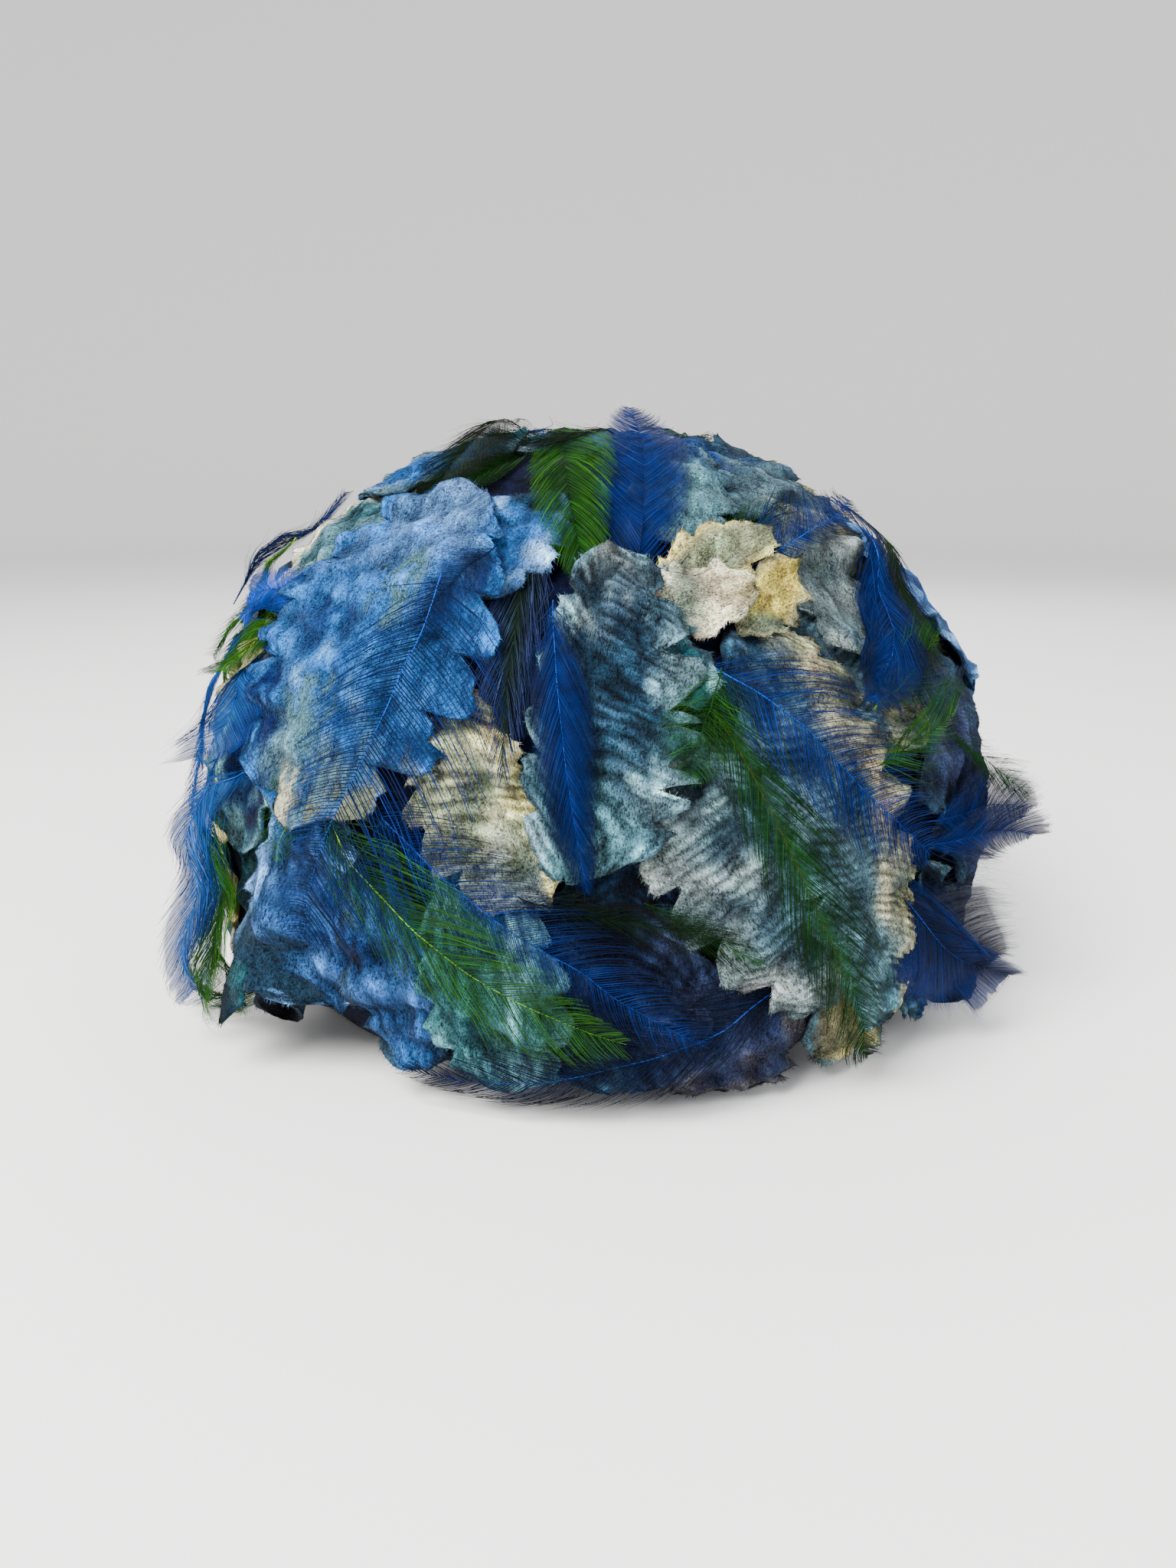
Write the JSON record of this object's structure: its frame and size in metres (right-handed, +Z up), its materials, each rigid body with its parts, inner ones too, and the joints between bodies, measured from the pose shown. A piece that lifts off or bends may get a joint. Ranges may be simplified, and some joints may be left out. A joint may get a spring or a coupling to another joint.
{
  "type": "velvet leaf and feather hat",
  "caption": "Hollow domed hat covered all over with overlapping scalloped velvet leaves and curved dyed feathers, open below for the head.",
  "frame": {"origin": "centre of the head opening, on the plane of the rim that the hat rests on", "axes": "+Z up to the crown, -Y to the back of the head, +X to the wearer's right"},
  "size_m": [0.2534, 0.2573, 0.1704],
  "materials": {
    "cap_velvet": "dark blue velvet, matt with a soft sheen",
    "velvet_cornflower": "cornflower blue velvet, short pile",
    "velvet_slate": "slate teal velvet with fine diagonal ribs",
    "velvet_cream": "cream velvet shaded to blue",
    "velvet_teal": "teal green velvet",
    "velvet_grey_blue": "grey blue velvet",
    "velvet_midnight": "midnight blue velvet",
    "velvet_sand": "sand coloured velvet",
    "feather_royal_blue": "dyed feather, satin",
    "feather_navy": "dyed feather, satin",
    "feather_blue": "dyed feather, satin",
    "feather_green": "dyed feather, satin",
    "feather_olive": "dyed feather, satin"
  },
  "bodies": {
    "root": {"foundation_cap": "cap_velvet", "leaf_front_low_1": "velvet_slate", "leaf_front_low_2": "velvet_cornflower", "leaf_front_low_3": "velvet_grey_blue", "leaf_front_low_4": "velvet_teal", "leaf_front_low_5": "velvet_cornflower", "leaf_side_low_left": "velvet_slate", "leaf_side_low_right": "velvet_grey_blue", "leaf_rim_sand": "velvet_sand", "leaf_rim_cream": "velvet_cream", "leaf_rim_slate": "velvet_slate", "leaf_rim_midnight": "velvet_midnight", "leaf_left_pale": "velvet_teal", "leaf_left_ribbed": "velvet_cornflower", "leaf_rim_blue": "velvet_cornflower", "leaf_rim_green": "velvet_teal", "leaf_right_purple": "velvet_grey_blue", "leaf_left_cream": "velvet_cream", "leaf_left_slate": "velvet_slate", "leaf_back_cream": "velvet_cream", "leaf_right_low": "velvet_slate", "leaf_right_long": "velvet_cream", "leaf_crown": "velvet_slate", "leaf_front_top_1": "velvet_cornflower", "leaf_front_top_2": "velvet_slate", "leaf_front_top_3": "velvet_cream", "leaf_front_top_4": "velvet_teal", "leaf_front_top_5": "velvet_grey_blue", "leaf_top_left_cream": "velvet_cream", "leaf_top_left_blue": "velvet_cornflower", "leaf_top_grey": "velvet_grey_blue", "leaf_top_smooth": "velvet_slate", "leaf_top_teal": "velvet_teal", "leaf_right_grey": "velvet_grey_blue", "leaf_right_yellow": "velvet_sand", "leaf_right_cream": "velvet_cream", "leaf_right_white": "velvet_cream", "leaf_back_centre": "velvet_slate", "leaf_left_cornflower": "velvet_cornflower", "feather_rim_blue": "feather_royal_blue", "feather_right_navy": "feather_navy", "feather_right_tip": "feather_royal_blue", "feather_left_blue": "feather_blue", "feather_left_green": "feather_green", "feather_centre_olive": "feather_olive", "feather_green_long": "feather_green", "feather_blue_long": "feather_royal_blue", "feather_left_side": "feather_blue", "feather_left_top": "feather_green", "feather_top_left_navy": "feather_navy", "feather_right_dark": "feather_navy", "feather_top_blue": "feather_royal_blue", "feather_arc_navy": "feather_navy", "feather_top_green": "feather_green", "feather_top_left_green": "feather_green", "feather_centre_blue": "feather_royal_blue", "feather_low_blue": "feather_royal_blue", "feather_low_green": "feather_green", "feather_wide_blue": "feather_blue", "rolled_leaf_left": "velvet_teal"}
  },
  "joints": []
}
